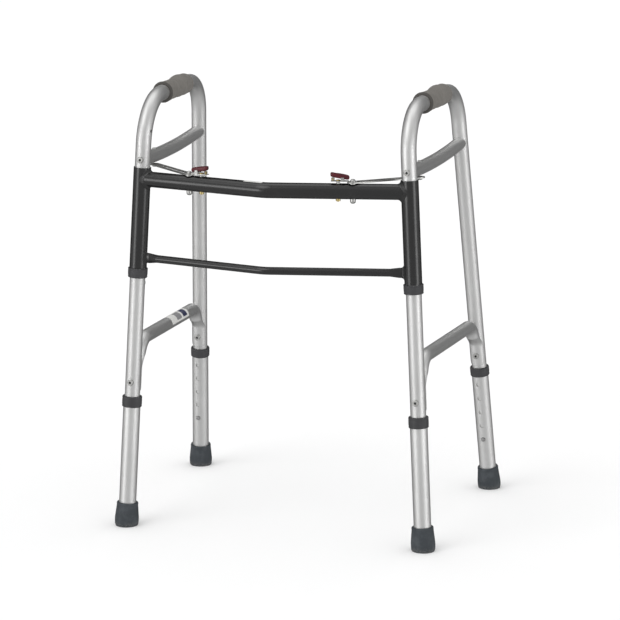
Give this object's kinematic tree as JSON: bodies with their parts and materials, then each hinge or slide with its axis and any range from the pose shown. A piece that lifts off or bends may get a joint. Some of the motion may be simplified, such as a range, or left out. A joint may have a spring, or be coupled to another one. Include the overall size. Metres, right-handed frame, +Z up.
{
  "type": "folding walking frame",
  "caption": "Folding walking frame: two tube side frames with hand grips and telescopic rubber-tipped legs, hinged on sleeves to a bent front crossbar frame",
  "frame": {"origin": "middle of the footprint, on the floor", "axes": "+Z up, +Y towards the person who stands in the frame, +X to the side that holds the right_ parts"},
  "size_m": [0.574, 0.4714, 0.733],
  "materials": {
    "anodised_tube": "satin anodised",
    "black_coat": "satin powder coat",
    "charcoal_collar": "moulded, satin",
    "tip_rubber": "moulded, matte",
    "grip_rubber": "moulded, matte",
    "red_lever": "moulded, semi-gloss",
    "lever_steel": "black",
    "zinc_steel": "zinc plated",
    "bright_steel": "nickel plated",
    "brass": "yellow passivated",
    "spring_steel": "oiled spring steel"
  },
  "bodies": {
    "centre_frame": {"upper_crossbar": "black_coat", "lower_crossbar": "black_coat", "guide_bolts": "bright_steel", "guide_washers": "zinc_steel", "guide_spacers": "zinc_steel", "guide_nuts": "bright_steel", "catch_bolts": "brass", "catch_spacers": "zinc_steel", "catch_nuts": "brass", "catch_springs": "brass", "lever_pins": "zinc_steel", "left_pivot_sleeve": "black_coat", "right_pivot_sleeve": "black_coat", "left_catch_strip": "zinc_steel", "right_catch_strip": "zinc_steel"},
    "right_side_frame": {"right_side_tube": "anodised_tube", "right_upper_brace": "anodised_tube", "right_lower_brace": "anodised_tube", "right_hand_grip": "grip_rubber", "right_brace_screws": "zinc_steel", "right_brace_nuts": "zinc_steel", "right_sleeve_collar": "charcoal_collar", "right_collar_rivet": "zinc_steel", "right_link_bolt": "zinc_steel", "right_snap_springs": "spring_steel"},
    "right_stay": {"right_link": "zinc_steel", "right_link_nut": "zinc_steel"},
    "right_lever": {"right_lever_arm": "lever_steel", "right_lever_grip": "red_lever"},
    "right_front_leg": {"right_front_leg_extension": "anodised_tube", "right_front_leg_collar": "charcoal_collar", "right_front_rubber_tip": "tip_rubber"},
    "right_front_button": {"right_front_snap_button": "spring_steel"},
    "right_rear_leg": {"right_rear_leg_extension": "anodised_tube", "right_rear_leg_collar": "charcoal_collar", "right_rear_rubber_tip": "tip_rubber"},
    "right_rear_button": {"right_rear_snap_button": "spring_steel"},
    "left_side_frame": {"left_side_tube": "anodised_tube", "left_upper_brace": "anodised_tube", "left_lower_brace": "anodised_tube", "left_hand_grip": "grip_rubber", "left_brace_screws": "zinc_steel", "left_brace_nuts": "zinc_steel", "left_sleeve_collar": "charcoal_collar", "left_collar_rivet": "zinc_steel", "left_link_bolt": "zinc_steel", "left_snap_springs": "spring_steel"},
    "left_stay": {"left_link": "zinc_steel", "left_link_nut": "zinc_steel"},
    "left_lever": {"left_lever_arm": "lever_steel", "left_lever_grip": "red_lever"},
    "left_front_leg": {"left_front_leg_extension": "anodised_tube", "left_front_leg_collar": "charcoal_collar", "left_front_rubber_tip": "tip_rubber"},
    "left_front_button": {"left_front_snap_button": "spring_steel"},
    "left_rear_leg": {"left_rear_leg_extension": "anodised_tube", "left_rear_leg_collar": "charcoal_collar", "left_rear_rubber_tip": "tip_rubber"},
    "left_rear_button": {"left_rear_snap_button": "spring_steel"}
  },
  "joints": [
    {"name": "right_fold", "type": "hinge", "parent": "centre_frame", "child": "right_side_frame", "pos_m": [0.25675, -0.18908, 0], "axis": [-0.0513, 0.0253, 0.9984], "range_deg": [0, 73]},
    {"name": "right_link_slide", "type": "slide", "parent": "centre_frame", "child": "right_stay", "axis": [-0.7431, -0.6692, 0], "range_m": [0, 0.07111]},
    {"name": "right_lever_press", "type": "hinge", "parent": "centre_frame", "child": "right_lever", "pos_m": [0.12184, -0.19733, 0.6056], "axis": [0.2147, -0.9767, 0], "range_deg": [0, 12], "stiffness_Nm_per_rad": 0.06, "springref_deg": -11.46, "deforming": ["catch_springs"]},
    {"name": "right_front_leg_slide", "type": "slide", "parent": "right_side_frame", "child": "right_front_leg", "axis": [0.0513, -0.0253, -0.9984], "range_m": [0, 0.1016], "deforming": ["right_front_snap_button"]},
    {"name": "right_front_button_press", "type": "slide", "parent": "right_side_frame", "child": "right_front_button", "axis": [-0.0274, -0.9993, 0.0239], "range_m": [0, 0.004], "stiffness_N_per_m": 600, "springref_m": -0.003, "deforming": ["right_snap_springs"]},
    {"name": "right_rear_leg_slide", "type": "slide", "parent": "right_side_frame", "child": "right_rear_leg", "axis": [0.0552, 0.1466, -0.9877], "range_m": [0, 0.1016], "deforming": ["right_rear_snap_button"]},
    {"name": "right_rear_button_press", "type": "slide", "parent": "right_side_frame", "child": "right_rear_button", "axis": [0.0182, 0.9889, 0.1478], "range_m": [0, 0.004], "stiffness_N_per_m": 600, "springref_m": -0.003, "deforming": ["right_snap_springs"]},
    {"name": "left_fold", "type": "hinge", "parent": "centre_frame", "child": "left_side_frame", "pos_m": [-0.25675, -0.18908, 0], "axis": [-0.0513, -0.0253, -0.9984], "range_deg": [0, 90]},
    {"name": "left_link_slide", "type": "slide", "parent": "centre_frame", "child": "left_stay", "axis": [0.7431, -0.6692, 0], "range_m": [0, 0.08497]},
    {"name": "left_lever_press", "type": "hinge", "parent": "centre_frame", "child": "left_lever", "pos_m": [-0.12184, -0.19733, 0.6056], "axis": [0.2147, 0.9767, 0], "range_deg": [0, 12], "stiffness_Nm_per_rad": 0.06, "springref_deg": -11.46, "deforming": ["catch_springs"]},
    {"name": "left_front_leg_slide", "type": "slide", "parent": "left_side_frame", "child": "left_front_leg", "axis": [-0.0513, -0.0253, -0.9984], "range_m": [0, 0.1016], "deforming": ["left_front_snap_button"]},
    {"name": "left_front_button_press", "type": "slide", "parent": "left_side_frame", "child": "left_front_button", "axis": [0.0274, -0.9993, 0.0239], "range_m": [0, 0.004], "stiffness_N_per_m": 600, "springref_m": -0.003, "deforming": ["left_snap_springs"]},
    {"name": "left_rear_leg_slide", "type": "slide", "parent": "left_side_frame", "child": "left_rear_leg", "axis": [-0.0552, 0.1466, -0.9877], "range_m": [0, 0.1016], "deforming": ["left_rear_snap_button"]},
    {"name": "left_rear_button_press", "type": "slide", "parent": "left_side_frame", "child": "left_rear_button", "axis": [-0.0182, 0.9889, 0.1478], "range_m": [0, 0.004], "stiffness_N_per_m": 600, "springref_m": -0.003, "deforming": ["left_snap_springs"]}
  ],
  "couplings": [
    {"joint": "right_link_slide", "follows": "right_fold", "m_per_rad": 0.055737},
    {"joint": "left_link_slide", "follows": "left_fold", "m_per_rad": 0.054027}
  ]
}
